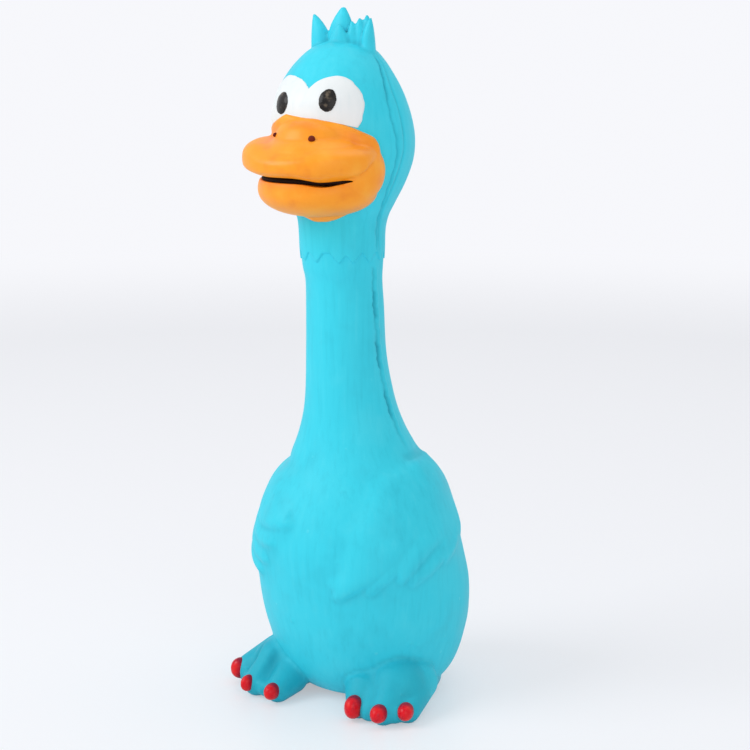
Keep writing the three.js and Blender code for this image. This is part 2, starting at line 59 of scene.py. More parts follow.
# The skin's rings from the base to the crown: height, half width, half depth, and the ring's own y
SKIN_ROWS = np.array((
    (0, 14.4, 12.96, 7.8), (2.5, 19.87, 18.43, 7.8), (8, 24.34, 23.33, 7.8),
    (17.6, 27.39, 26.78, 7.48), (23.9, 28.51, 27.79, 6.76), (31.1, 28.8, 28.22, 5.72),
    (37.8, 28.22, 27.79, 4.28), (44.5, 27.19, 27.07, 3.08), (51, 25.2, 25.34, 2.76),
    (58, 22.41, 22.61, 2.68), (64.5, 18.49, 18.6, 2.2), (71, 15.09, 15.09, 0.76),
    (77.7, 12.79, 12.79, -0.44), (84, 11.6, 11.6, -1.48), (93.9, 10.61, 10.61, -2.84),
    (107.1, 10.2, 10.2, -3.4), (113.7, 10.05, 10.05, -3.88), (117, 10.45, 10.45, -4.36),
    (126, 11.19, 11.19, -4.64), (130, 11.8, 12.03, -4.36), (133.5, 13.39, 13.6, -4.16),
    (138.7, 15.91, 16.21, -3.96), (144.6, 18, 18.59, -4.16), (150, 18.5, 19.2, -4.36),
    (155, 18, 18.8, -4.92), (160, 16.71, 17.59, -5.48), (163.5, 15.39, 15.8, -5.69),
    (166.6, 13.5, 13.6, -5.3), (169.7, 11.19, 11.19, -4.74), (172.7, 7.99, 7.99, -4.16),
    (174.4, 4.07, 4.07, -3.96), (175, 1.48, 1.48, -3.96),
))
WALL = 2.5


def skin_at(height):
    """Half width, half depth and y of the skin's ring at a height, on one smooth curve through the rows."""
    z, values = SKIN_ROWS[:, 0], SKIN_ROWS[:, 1:]
    height = np.clip(height, z[0], z[-1])
    row = np.arange(len(z))
    before, after = np.maximum(row - 1, 0), np.minimum(row + 1, len(z) - 1)
    slope = (values[after] - values[before]) / (z[after] - z[before])[:, None]
    low = np.clip(np.searchsorted(z, height, side="right") - 1, 0, len(z) - 2)
    span = (z[low + 1] - z[low])[..., None]
    t = (height - z[low])[..., None] / span
    return (
        (2 * t**3 - 3 * t**2 + 1) * values[low]
        + (t**3 - 2 * t**2 + t) * span * slope[low]
        + (3 * t**2 - 2 * t**3) * values[low + 1]
        + (t**3 - t**2) * span * slope[low + 1]
    )


def skin_rows(bottom, top, step, grow=0.0):
    """Rows for rings between two heights, with the skin moved outwards by grow."""
    heights = np.linspace(bottom, top, round((top - bottom) / step) + 1)
    return [
        (0, y, height, wide + grow, deep + grow)
        for height, (wide, deep, y) in zip(heights, skin_at(heights))
    ]


# Tools

def take(*objects):
    """Makes these objects the selection, the first one active."""
    bpy.ops.object.select_all(action="DESELECT")
    for obj in objects:
        obj.select_set(True)
    bpy.context.view_layer.objects.active = objects[0]


def named(name):
    """The object that the last step made, with its new name."""
    obj = bpy.context.object
    obj.name = obj.data.name = name
    return obj


def settled(obj):
    """Puts an object's place, turn and size into its mesh."""
    take(obj)
    bpy.ops.object.transform_apply(location=True, rotation=True, scale=True)
    return obj


def primitive(name, add, **settings):
    bpy.ops.object.select_all(action="DESELECT")
    add(**settings)
    return settled(named(name))


def edit(obj, action="SELECT"):
    """Opens edit mode with all of the mesh selected, or none of it."""
    take(obj)
    bpy.ops.object.mode_set(mode="EDIT")
    bpy.ops.mesh.select_mode(type="VERT")
    bpy.ops.mesh.select_all(action=action)


def close():
    bpy.ops.object.mode_set(mode="OBJECT")


def points_of(obj):
    """The vertices in millimetres and their normals."""
    places, normals = (np.empty(len(obj.data.vertices) * 3) for _ in range(2))
    obj.data.vertices.foreach_get("co", places)
    obj.data.vertices.foreach_get("normal", normals)
    return places.reshape(-1, 3) / MM, normals.reshape(-1, 3)


def move_points(obj, places):
    obj.data.vertices.foreach_set("co", (places * MM).ravel())
    obj.data.update()


def modify(obj, kind, **settings):
    """Adds a modifier with these settings and applies it."""
    take(obj)
    modifier = obj.modifiers.new(kind.lower(), kind)
    for key, value in settings.items():
        setattr(modifier, key, value)
    bpy.ops.object.modifier_apply(modifier=modifier.name)
    return obj


def face_out(obj):
    """Merges doubled points and turns every face outwards."""
    edit(obj)
    bpy.ops.mesh.remove_doubles(threshold=0.001 * MM)
    bpy.ops.mesh.normals_make_consistent(inside=False)
    close()
    return obj


def rings(name, rows, sides, fill="NGON"):
    """Upright rings, drawn up one from the next: each row is x, y, height, half width and half depth."""
    centres = [[value * MM for value in row[:3]] for row in rows]
    add = bpy.ops.mesh.primitive_circle_add
    obj = primitive(name, add, vertices=sides, radius=MM, fill_type=fill, location=centres[0])
    edit(obj)
    bpy.ops.transform.resize(value=(*rows[0][3:], 1), center_override=centres[0])
    for last, row, centre in zip(rows, rows[1:], centres[1:]):
        step = [(row[axis] - last[axis]) * MM for axis in range(3)]
        bpy.ops.mesh.extrude_region_move(TRANSFORM_OT_translate={"value": step})
        share = (row[3] / last[3], row[4] / last[4], 1)
        bpy.ops.transform.resize(value=share, center_override=centre)
    close()
    return face_out(obj)


def sphere(name, radius, sides):
    add = bpy.ops.mesh.primitive_uv_sphere_add
    return primitive(name, add, segments=sides, ring_count=sides // 2, radius=radius * MM)


def ball(name, centre, radii, power, sides):
    """A rounded form; a power under one gives it a thick rim and a flatter top."""
    obj = sphere(name, 1, sides)
    x, y, z = points_of(obj)[0].T
    swell = np.maximum(np.hypot(x, y), 0.001) ** (power - 1)
    places = np.column_stack((x * swell, y * swell, np.sign(z) * np.abs(z) ** power))
    move_points(obj, places * radii + centre)
    return obj


def aimed(obj, place, axis, heading):
    """Moves a form to its place and turns its axis to a heading."""
    turn = Vector(axis).rotation_difference(heading)
    obj.matrix_world = Matrix.Translation(place * MM) @ turn.to_matrix().to_4x4()
    return settled(obj)


def limb(name, start, end, start_radius, end_radius):
    """A round limb that tapers from one ball to another."""
    obj = sphere(name, start_radius, 32)
    along = end - start
    edit(obj, "DESELECT")
    close()
    for vertex in obj.data.vertices:
        vertex.select = vertex.co.z > 0.01 * MM
    bpy.ops.object.mode_set(mode="EDIT")
    far_end = (0, 0, along.length * MM)
    bpy.ops.transform.translate(value=far_end)
    bpy.ops.transform.resize(value=(end_radius / start_radius,) * 3, center_override=far_end)
    close()
    return aimed(obj, start, (0, 0, 1), along)


def cast(name, forms, voxel, soft):
    """Joins closed forms into one skin without the walls inside them, and softens its creases."""
    take(*forms)
    bpy.ops.object.join()
    skin = modify(named(name), "REMESH", mode="VOXEL", voxel_size=voxel * MM)
    return modify(skin, "SMOOTH", factor=0.5, iterations=soft)


def hollow(obj, *cutters):
    """Cuts closed forms out of a skin."""
    for cutter in cutters:
        modify(obj, "BOOLEAN", operation="DIFFERENCE", solver="EXACT", object=cutter)
        bpy.data.objects.remove(cutter)
    return obj


def ramp(value, low, high):
    """0 below low, 1 above high, and smooth between."""
    t = np.clip((value - low) / (high - low), 0, 1)
    return t * t * (3 - 2 * t)


def band(value, low, full, fading, high):
    """1 from full to fading, and smooth down to 0 at low and at high."""
    return ramp(value, low, full) * (1 - ramp(value, fading, high))


def hill(value, middle, width):
    """1 at the middle, and falling softly away on both sides."""
    return np.exp(-(((value - middle) / width) ** 2))


def to_segment(places, start, end):
    """Distance from each point to a segment, and how far along it the nearest point is."""
    start, end = np.array(start, float), np.array(end, float)
    along = end - start
    share = np.clip((places - start) @ along / (along @ along), 0, 1)
    return np.linalg.norm(places - start - share[:, None] * along, axis=1), share


def edges_of(obj):
    """The two ends of every edge, and how many edges meet at each vertex."""
    ends = np.empty(len(obj.data.edges) * 2, int)
    obj.data.edges.foreach_get("vertices", ends)
    return (*ends.reshape(-1, 2).T, np.bincount(ends, minlength=len(obj.data.vertices)))


def spread(obj, values, passes):
    """Evens out a value over the mesh, a step along every edge in each pass."""
    here, there, count = edges_of(obj)
    for _ in range(passes):
        around = np.bincount(here, values[there], len(count)) + np.bincount(there, values[here], len(count))
        values = (values + around) / (count + 1)
    return values


def creases(obj, passes):
    """How far each point lies in a hollow of the surface, 0 to 1."""
    places, normals = points_of(obj)
    here, there, count = edges_of(obj)
    away = places[there] - places[here]
    away /= np.maximum(np.linalg.norm(away, axis=1), 1e-6)[:, None]
    bend = np.bincount(here, np.sum(away * normals[here], axis=1), len(places))
    bend -= np.bincount(there, np.sum(away * normals[there], axis=1), len(places))
    return np.clip(spread(obj, bend / count, passes) * 6, 0, 1)


def note(obj, name, values):
    """Keeps a value for each point, for the material to read."""
    layer = obj.data.attributes.new(name, "FLOAT", "POINT")
    layer.data.foreach_set("value", np.asarray(values, np.float32))


def round_belly(places):
    """Each point's side angle from the front in degrees, signed as x, and its height."""
    x, y, z = places.T
    return np.degrees(np.arctan2(x, skin_at(z)[:, 2] - y)), z


# Camera: the photograph's viewing angle, worked out from the toy's own proportions
camera = bpy.data.cameras.new("camera")
camera.sensor_width = 36
camera.lens = 84.768
viewpoint = bpy.data.objects.new("camera", camera)
bpy.context.scene.collection.objects.link(viewpoint)
viewpoint.location = (249.14 * MM, -387.27 * MM, 176 * MM)
viewpoint.rotation_euler = (math.radians(90 - 10.898), 0, math.radians(32))
bpy.context.scene.camera = viewpoint


# Lower skin: belly, wings, feet and neck in one casting

LOWER_TOP = 122.2
LOWER_VOXEL = 0.55
FLOOR_THICK = 3
HOLE_RADIUS = 8.8
SQUEAKER_Y = 7.8

# Toes: where each leaves the belly and how thick it is there, its thickness at the end, then its nail's place
# and half sizes; x is outwards
TOES = {
    "left": (
        ("inner", (12.3, -13.2, 5.6), 5.8, 3.5, (13, -19.3, 3.65), (2.35, 3.3, 3.05)),
        ("middle", (19.3, -8.2, 6.6), 8.4, 3.5, (21.1, -20, 3.7), (2.2, 3.1, 2.35)),
        ("outer", (21.5, -3.8, 7.2), 6.6, 3.5, (26.1, -15.2, 3.75), (2.15, 3.1, 2.3)),
    ),
    "right": (
        ("inner", (12.3, -13.2, 5), 5.4, 3.5, (11.7, -21.2, 3.55), (2, 3, 2.2)),
        ("middle", (17.5, -9.5, 6.2), 7.8, 3.7, (20.2, -20, 3.8), (1.6, 2.5, 2.25)),
        ("outer", (21, -5.2, 6.4), 6.3, 4.3, (28, -12.5, 4.1), (2.2, 2.9, 2.95)),
    ),
}
# The webs' thickness at the end, and how deep the hollow over each is
WEBS = {"left": (3.1, 0.25, 0.25), "right": (2.7, 2, 2.6)}
HEEL = (14.5, 11.6, 3.5)
HEEL_RADIUS = 6
SOLE_CUT = 0.5       # how much of a toe's roundness its flat sole takes
NAIL_BACK = 2.4      # from the nail's tip back to the toe's own end


def toes_of(side, sign):
    """Each toe's name, root, root radius, limb end, end radius, heading, nail centre and nail sizes."""
    found = []
    for name, root, radius, end_radius, tip, nail_size in TOES[side]:
        root, tip = (Vector((sign * x, y, z)) for x, y, z in (root, tip))
        heading = (tip - root).to_2d().to_3d().normalized()
        end = tip - heading * NAIL_BACK
        end.z = end_radius - SOLE_CUT
        found.append((name, root, radius, end, end_radius, heading, tip + heading * 0.6, nail_size))
    return found


FEET = [(side, sign, toes_of(side, sign)) for side, sign in SIDES]


def web_between(toe, following):
    """Root, root radius and end of the web between two toes."""
    _, root, radius, end, _, heading, *_ = toe
    _, next_root, next_radius, next_end, *_ = following
    return (root + next_root) / 2, (radius + next_radius) / 2 - 0.3, (end + next_end) / 2 + heading * 0.6


def foot_forms(side, sign, toes):
    forms = [
        limb(f"{side}_{name}", root, end, radius, end_radius)
        for name, root, radius, end, end_radius, *_ in toes
    ]
    for toe, following in zip(toes, toes[1:]):
        root, radius, end = web_between(toe, following)
        forms.append(limb(f"{side}_web", root, end, radius, WEBS[side][0]))
    _, root, radius, *_ = toes[1]
    heel = Vector((sign * HEEL[0], *HEEL[1:]))
    return [*forms, limb(f"{side}_heel", root, heel, radius, HEEL_RADIUS)]


# Wings, as side angle from the front and height: the outline of each wing's pad, then its feathers. Each
# feather runs back from its tip along a ridge: how far its steep lower edge and its soft upper edge lie from
# the ridge, its height, then the ridge's points.
SHOULDER_EDGE = ((95, 65.5), (120, 64.5), (130, 58), (129, 50), (116, 46), (100, 43), (86, 40), (72, 38))
WING_PADS = {
    "left": (
        *SHOULDER_EDGE, (60, 36.5), (48, 37), (36, 35.5), (22, 33), (17, 34.5), (22, 39), (32, 50), (45, 62),
        (70, 65),
    ),
    "right": (
        *SHOULDER_EDGE, (60, 36), (48, 35), (37, 34.2), (29, 38), (22, 43.5), (11, 49), (12, 53), (24, 57),
        (36, 60), (66, 61),
    ),
}
FEATHERS = {
    "left": (
        (1.5, 6, 1.4, ((19.5, 33.6), (27, 36), (35.5, 38.8), (44, 42), (60, 48.5), (80, 56))),
        (1.3, 3, 1.2, ((37, 35.4), (43, 37.8), (52, 41.3), (70, 47.5))),
        (1.4, 4.5, 1.4, ((54, 38.4), (63, 42.4), (72, 45.4), (85, 47.6), (100, 51))),
        (1.5, 3.2, 1.25, ((60.5, 37.2), (70, 39.2), (80, 41.8), (92, 45.2), (108, 49))),
        (1.5, 3, 1.2, ((85, 41.4), (95, 43.4), (105, 46), (118, 50))),
        (1.5, 3, 0.8, ((108, 45), (116, 47.2), (124, 52))),
    ),
    "right": (
        (1.4, 6, 1.35, ((12.5, 50.6), (24, 50), (37, 49.6), (55, 52.5), (80, 58))),
        (1.4, 3.2, 1.15, ((23, 44.9), (34, 45), (48, 46.8), (66, 50))),
        (1.4, 3.2, 1.15, ((29.5, 39.8), (40, 41), (55, 43.6), (72, 47))),
        (1.5, 3, 1.2, ((37, 36), (48, 37.4), (62, 40), (80, 44), (100, 48))),
        (1.5, 3, 1.2, ((86, 41.4), (96, 43.4), (106, 46), (119, 50))),
        (1.5, 3, 1.2, ((108, 43.6), (116, 46.4), (124, 52))),
    ),
}
ARC = math.radians(27)      # millimetres of belly for each degree
PAD_RELIEF = 1.2
PLUME_RELIEF = 0.62
SHOULDER_TOP = 65.9


def inside_outline(points, outline):
    """Distance of flat points from a closed outline, positive inside it."""
    across, up = points.T
    far = np.full(len(points), np.inf)
    crossed = np.zeros(len(points), bool)
    for start, end in zip(outline, np.roll(outline, -1, axis=0)):
        far = np.minimum(far, to_segment(points, start, end)[0])
        slant = (end[0] - start[0]) / ((end[1] - start[1]) or 1)
        spans = (start[1] > up) != (end[1] > up)
        crossed ^= spans & (across < start[0] + (up - start[1]) * slant)
    return np.where(crossed, far, -far)


def feather_relief(flat, low, high, tall, ridge):
    """A feather along its ridge: steep below it and at its tip, soft above it, and gone at its root."""
    distance = np.full(len(flat), np.inf)
    above = np.zeros(len(flat), bool)
    run = np.zeros(len(flat))
    for number, (start, end) in enumerate(zip(ridge, ridge[1:])):
        away, share = to_segment(flat, start, end)
        along = end - start
        off = flat - start
        closer = away < distance
        above = np.where(closer, (off @ (-along[1], along[0]) > 0) & (off @ along >= 0), above)
        run = np.where(closer, (number + share) / (len(ridge) - 1), run)
        distance = np.minimum(distance, away)
    steep = np.sqrt(np.clip(1 - (distance / low) ** 2, 0, 1))
    soft = 1 - ramp(distance, 0, high)
    return tall * np.where(above, soft, steep) * (1 - ramp(run, 0.3, 0.95))


def wing_relief(skin, places):
    """How far the wings stand out of the belly at each point."""
    angle, height = round_belly(places)
    flat = np.column_stack((np.abs(angle) * ARC, height))
    pad, plumes = np.zeros(len(places)), np.zeros(len(places))
    for side, sign in SIDES:
        here = (angle * sign > 0) & (height > 28) & (height < 72)
        points = flat[here]
        pad[here] = inside_outline(points, np.array(WING_PADS[side]) * (ARC, 1)) > 0
        for low, high, tall, ridge in FEATHERS[side]:
            feather = feather_relief(points, low, high, tall, np.array(ridge) * (ARC, 1))
            plumes[here] = np.maximum(plumes[here], feather)
    return PAD_RELIEF * spread(skin, pad, 40) + PLUME_RELIEF * spread(skin, plumes, 2)


def toe_valleys(places):
    """How deep the hollows between the toes are."""
    depth = np.zeros(len(places))
    for side, _, toes in FEET:
        for toe, following, deep in zip(toes, toes[1:], WEBS[side][1:]):
            root, _, end = web_between(toe, following)
            root = root.lerp(end, 0.15)
            distance, share = to_segment(places[:, :2], root.to_2d(), end.to_2d())
            deep = deep * ramp(share, 0, 0.3) * (1 - 0.45 * share)
            depth = np.maximum(depth, deep * hill(distance, 0, 1.5))
    return depth * band(places[:, 2], 1, 3, 9, 14)


def outer_rear(places):
    """1 where a foot runs smoothly into the belly, at its outer rear."""
    x, y, z = places.T
    return ramp(np.abs(x), 19, 27) * ramp(y, -10, -2) * (1 - ramp(z, 17, 24))


def foot_shade_mask(places):
    """Where the feet take their painted shade: 1 on the feet and 0 on the belly over them."""
    x, y, z = places.T
    wide, deep, middle = skin_at(z).T
    off = np.hypot(x / wide, (y - middle) / deep) - 1
    return ramp(off * wide, 0.2, 1.4) * (1 - ramp(z, 17, 19)) * (1 - 0.7 * outer_rear(places))


def shoulder_relief(places):
    """The bump where the left wing starts, abrupt at its top, and the dip over each wing."""
    angle, height = round_belly(places)
    behind = band(np.abs(angle), 74, 88, 124, 140)
    aside = band(np.abs(angle), 20, 40, 124, 140)
    bump = 0.7 * band(SHOULDER_TOP - height, -0.5, 0.8, 2, 14) * behind
    left_dip = 0.5 * hill(height, 67.3, 1.4) * behind
    right_dip = 0.5 * hill(height, 64, 2) * aside
    return np.where(angle > 0, bump - left_dip, -right_dip)


# Small lumps that air bubbles in the mould left: side angle, height, radius
LUMPS = (
    (56.5, 19.2, 0.55), (60.5, 18.3, 0.4), (20.3, 42.8, 0.5), (22.5, 60.1, 0.45), (-12, 24, 0.45),
    (-70, 30, 0.5), (150, 40, 0.5), (-128, 52, 0.45),
)
LUMP_HEIGHT = 0.32
SEAM_LIP = 0.28
SEAM_DEPTH = 0.6


def lump_relief(places):
    angle, height = round_belly(places)
    return LUMP_HEIGHT * sum(
        hill(np.hypot((angle - turn) * ARC, height - rise), 0, radius) for turn, rise, radius in LUMPS
    )


def seam_cut(places):
    """The rough cut down each side of the neck where the mould's flash was trimmed off, and its rear lip."""
    x, y, z = places.T
    ahead = np.interp(z, (72, 80, 95, 105, 118), (-0.2, 0.2, 0.9, 1.3, 1.4))
    ahead += 0.16 * np.sin(1.3 * z) + 0.13 * np.sin(3.1 * z + 1)
    behind = y - skin_at(z)[:, 2] + ahead
    here = (np.abs(x) > 5) * band(z, 68, 76, 116.5, 118)
    # Deep for a few millimetres, then almost gone
    rough = 0.4 + 0.6 * ramp(np.sin(2 * math.pi * (z - 104.3) / 13.3), -0.4, 0.3)
    return here * rough * hill(behind, 0, 0.5), here * hill(behind, 1, 0.42)


def lower_skin():
    belly = rings("belly", skin_rows(0, LOWER_TOP, 1), 128)
    feet = [form for foot in FEET for form in foot_forms(*foot)]
    skin = cast("toy_lower_skin", [belly, *feet], LOWER_VOXEL, 3)
    places, normals = points_of(skin)
    relief = wing_relief(skin, places) + shoulder_relief(places) + lump_relief(places) - toe_valleys(places)
    cut, lip = seam_cut(places)
    relief += SEAM_LIP * lip - SEAM_DEPTH * cut
    places += normals * relief[:, None]
    # Flat soles and base
    places[:, 2] = np.maximum(places[:, 2], 0)
    move_points(skin, places)
    inner = rings("inner", skin_rows(FLOOR_THICK, LOWER_TOP + 4, 3, -WALL), 64)
    hole = primitive(
        "hole", bpy.ops.mesh.primitive_cylinder_add, vertices=64, radius=HOLE_RADIUS * MM, depth=20 * MM,
        location=(0, SQUEAKER_Y * MM, -5 * MM),
    )
    return hollow(skin, inner, hole)


# Upper skin: head with crest, down to the feather collar

UPPER_BOTTOM = 114
UPPER_VOXEL = 0.38
COLLAR = 118.7
COLLAR_TIP = 2.6     # how far a feather tip hangs below the gap beside it
EYE_CENTRE = (6.7, -22.5, 160)
EYE_SIZE = (7, 8, 6.5)

CREST = (
    # left edge, right edge and tip along x; base y, half thickness, tip y; tip height
    (-9.2, -3.6, -8.7, -4, 2.3, -4.4, 181.3),
    (-4.6, 3.4, 0.3, -3.6, 2.7, -3.9, 183),
    (-2.4, 3.8, 1.2, -6.2, 1.7, -7.4, 178.8),
    (1.9, 5.5, 3.7, -4.7, 1.9, -5.4, 179.6),
    (3.4, 7.4, 5.3, -4, 2.1, -4.4, 180.3),
    (4.9, 9.1, 6.9, -3.4, 2.2, -3.4, 181),
    (6.2, 9.6, 8.9, -4.2, 2.1, -4.6, 180.3),
    (-7.6, -1, -4.6, -1.6, 1.8, -0.8, 178.4),
    (1, 7, 4.4, -1.4, 1.8, -0.4, 179.2),
)
# How wide a feather is on its way up
FEATHER_SHAPE = (
    (0, 1.12), (0.4, 1), (0.58, 0.92), (0.72, 0.76), (0.84, 0.54), (0.93, 0.33), (0.98, 0.18), (1, 0.08),
)
CREST_FOOT = 168

# Side angle of each feather tip round the collar
COLLAR_TIPS = (-160, -134, -108, -83, -57, -31, -6, 28, 48, 73, 98, 122, 148, 173)

# The two cuts where the mould's flash was trimmed off the head: height, then how far ahead of the middle
# each runs
TRIM_LINES = np.array((
    (118, 0.4, -0.4), (128, 1.2, 0.4), (133, 1.9, 1.2), (138, 3, 1.4), (144, 2.9, 0.9), (148, 2.8, 0),
    (152, 2.9, -0.2), (155, 3.4, -0.2), (159, 3.1, -0.3), (162, 2.4, 0), (164, 1.9, -0.2),
    (166, 1.5, -0.5), (168, 0.7, -0.9), (171, 0.3, -0.9),
))


def crest_feather(number, left, right, tip_x, base_y, deep, tip_y, tip):
    rows = [
        (
            tip_x + share * ((left + right) / 2 - tip_x),
            base_y + up * (tip_y - base_y),
            CREST_FOOT + up * (tip - CREST_FOOT),
            share * (right - left) / 2,
            max(share, 0.25) * deep,
        )
        for up, share in FEATHER_SHAPE
    ]
    return rings(f"feather_{number}", rows, 24)


def trim_cuts(places):
    """How deep each point lies in one of the two trimming cuts, 0 to 1, and how far it lies between them."""
    x, y, z = places.T
    ahead = skin_at(z)[:, 2] - y
    heights, *lines = TRIM_LINES.T
    front, rear = (np.interp(z, heights, line) for line in lines)
    front += 0.12 * np.sin(z * 1.7)
    here = (np.abs(x) > 5) * band(z, 119, 126, 169, 172)
    strong = 0.55 + 0.45 * ramp(z, 159, 163)
    cut = np.maximum(strong * hill(ahead, front, 0.33), 0.5 * hill(ahead, rear, 0.36))
    return here * cut, here * band(ahead, rear, rear + 0.5, front - 0.5, front)


def temple_dip(places):
    """The head draws in beside the bill on its right side."""
    angle, height = round_belly(places)
    return 1.7 * hill(angle, -60, 24) * hill(height, 150.6, 2.9)


def collar_edge(places):
    """Height of the feathered lower edge of the head, round the neck."""
    angle, _ = round_belly(places)
    away = np.min([np.abs((angle - tip + 180) % 360 - 180) for tip in COLLAR_TIPS], axis=0)
    return COLLAR + COLLAR_TIP * np.clip(away / 12, 0, 1) ** 1.2


def upper_skin():
    head = rings("head", skin_rows(UPPER_BOTTOM, 175, 0.8), 128)
    feathers = [crest_feather(number, *row) for number, row in enumerate(CREST)]
    skin = cast("toy_upper_skin", [head, *feathers], UPPER_VOXEL, 3)
    places, normals = points_of(skin)
    _, y, z = places.T
    cut, middle = trim_cuts(places)
    relief = 0.16 * middle - 0.5 * cut
    # A flatter face, with the eyes bulging out of it
    relief -= 0.45 * ramp(skin_at(z)[:, 2] - y, -4, 6) * band(z, 147, 152, 162, 169)
    for _, sign in SIDES:
        off = np.linalg.norm((places - (sign * EYE_CENTRE[0], *EYE_CENTRE[1:])) / EYE_SIZE, axis=1)
        relief += 0.35 * (1 - ramp(off, 0, 1.15))
    relief -= temple_dip(places)
    # Over the collar's edge the skin stands out, and under it it lies sunk in the neck
    over = ramp(z - collar_edge(places), -0.35, 0.35)
    relief += (1 - ramp(z, 121, 128)) * (0.36 * over - 0.06) - (1 - over) * 0.75
    move_points(skin, places + normals * relief[:, None])
    return hollow(skin, rings("inner", skin_rows(UPPER_BOTTOM - 4, 170, 3, -WALL), 48))


lower = lower_skin()
upper = upper_skin()


# Colour coats of the face

def surface_of(obj):
    return BVHTree.FromObject(obj, bpy.context.evaluated_depsgraph_get())


def seen_from_front(surface, across, up):
    """Where a line straight in from the front meets a surface, and the surface's normal there."""
    return surface.ray_cast(Vector((across, FAR_AHEAD, up)) * MM, Vector((0, 1, 0)))[:2]


def bezier_outline(stops, steps):
    """Points of a closed outline of curves: a first point, then two handles and an end for each curve."""
    outline = []
    for index in range(0, len(stops) - 1, 3):
        four = [Vector((*stop, 0)) for stop in stops[index:index + 4]]
        outline += [point.to_2d() for point in geometry.interpolate_bezier(*four, steps)[:-1]]
    return outline


def even(outline, count):
    """The outline again in evenly spaced points."""
    ring = np.array([*outline, outline[0]])
    run = np.concatenate(([0], np.cumsum(np.linalg.norm(np.diff(ring, axis=0), axis=1))))
    marks = np.linspace(0, run[-1], count, endpoint=False)
    return np.column_stack([np.interp(marks, run, ring[:, axis]) for axis in (0, 1)])


# A brush's sway round an outline: how many waves, how strong, and where they start
SWAY = ((5, 1, 1.1), (11, 0.7, 0.4), (23, 0.5, 2), (41, 0.35, 0))


def hand_painted(outline, centre, sway):
    """The outline again, wandering a little in and out as a brush does."""
    out = outline - centre
    turn = np.arctan2(out[:, 1], out[:, 0])
    wave = sum(strong * np.sin(waves * turn + start) for waves, strong, start in SWAY)
    return outline + out / np.linalg.norm(out, axis=1)[:, None] * (sway * wave)[:, None]


def coat(name, outline, centre, base, rise, dome=0.0, thickness=0.9, ring_count=22):
    """A thin coat with a crisp rounded edge that lies on the skin inside an upright outline."""
    count = len(outline)
    obj = primitive(name, bpy.ops.mesh.primitive_circle_add, vertices=count, radius=MM, fill_type="NOTHING")
    move_points(obj, np.insert(outline, 1, FAR_AHEAD, axis=1))
    shares = [1, 0.985, 0.965, *np.linspace(0.93, 0.06, ring_count - 3)]
    middle = (centre[0] * MM, FAR_AHEAD * MM, centre[1] * MM)
    edit(obj)
    for last, share in zip(shares, shares[1:]):
        bpy.ops.mesh.extrude_region_move()
        bpy.ops.transform.resize(value=(share / last,) * 3, center_override=middle)
    bpy.ops.mesh.merge(type="CENTER")
    close()
    places, _ = points_of(obj)
    for index, (across, _, up) in enumerate(places):
        ring = index // count
        share = shares[ring] if ring < len(shares) - 1 else 0
        lift = rise * (0.25, 0.8, 1)[min(ring, 2)] + dome * (1 - share**2)
        hit, normal = seen_from_front(base, across, up)
        places[index] = np.array(hit + normal * lift * MM) / MM
    move_points(obj, places)
    face_out(obj)
    if np.mean([polygon.normal.y for polygon in obj.data.polygons]) > 0:
        obj.data.flip_normals()
    return modify(obj, "SOLIDIFY", thickness=thickness * MM, offset=-1)


PATCH_CURVES = (
    (1.2, 162.8),
    (2.4, 164.6), (4.2, 166.1), (7, 166.1),
    (10.3, 166.1), (13.5, 162.2), (13.7, 157.6),
    (13.8, 155.8), (13.6, 154.6), (13, 153.5),
    (9.8, 154.6), (5, 155.8), (0, 155.9),
    (-5, 155.8), (-9.8, 154.6), (-13.8, 153.4),
    (-14.4, 154.4), (-14.6, 155.8), (-14.5, 157.6),
    (-14.2, 162.2), (-10.6, 166.1), (-6.6, 166.1),
    (-3.2, 166.1), (-0.2, 164.8), (1.2, 162.8),
)
PATCH_CENTRE = (0, 159)
# Each pupil's centre, half width and tilt
PUPILS = {"left": ((6.7, 160.2), 1.95, 6), "right": ((-6.7, 159.3), 2.35, -12)}
PUPIL_TALL = 2.75
PATCH_RISE = 0.16
PUPIL_RISE = 0.12


def ellipse(centre, wide, tall, tilt):
    turns = np.linspace(0, 2 * math.pi, 96, endpoint=False)
    across, up = wide * np.cos(turns), tall * np.sin(turns)
    c, s = math.cos(math.radians(tilt)), math.sin(math.radians(tilt))
    return np.column_stack((centre[0] + across * c - up * s, centre[1] + across * s + up * c))


patch_outline = hand_painted(even(bezier_outline(PATCH_CURVES, 24), 256), PATCH_CENTRE, 0.07)
patch = coat("eye_patch_coat", patch_outline, PATCH_CENTRE, surface_of(upper), PATCH_RISE)
patch_surface = surface_of(patch)
pupils = []
for side, (centre, wide, tilt) in PUPILS.items():
    outline = hand_painted(ellipse(centre, wide, PUPIL_TALL, tilt), centre, 0.035)
    pupil = coat(f"pupil_{side}_coat", outline, centre, patch_surface, PUPIL_RISE, 0.3, 0.5, 9)
    pupils.append((side, pupil))


# Bill

BILL_VOXEL = 0.4
MOUTH_HEIGHT = 140.6

# The painted face: side angle in degrees and height of its edge, from the middle of the brow to under the chin
FACE_EDGE = (
    (0, 155.9), (15, 155.5), (30, 154.6), (42, 153.4), (50, 152.2), (55, 151.5), (59, 150.9), (62, 149.4),
    (63.5, 146.6), (63.4, 143.6), (61.8, 140), (58.5, 137), (53, 134.8), (46, 133.2), (36, 131.6),
    (26, 130.4), (14, 129.7), (0, 129.5),
)
FACE_ARC = math.radians(18)     # millimetres of face for each degree


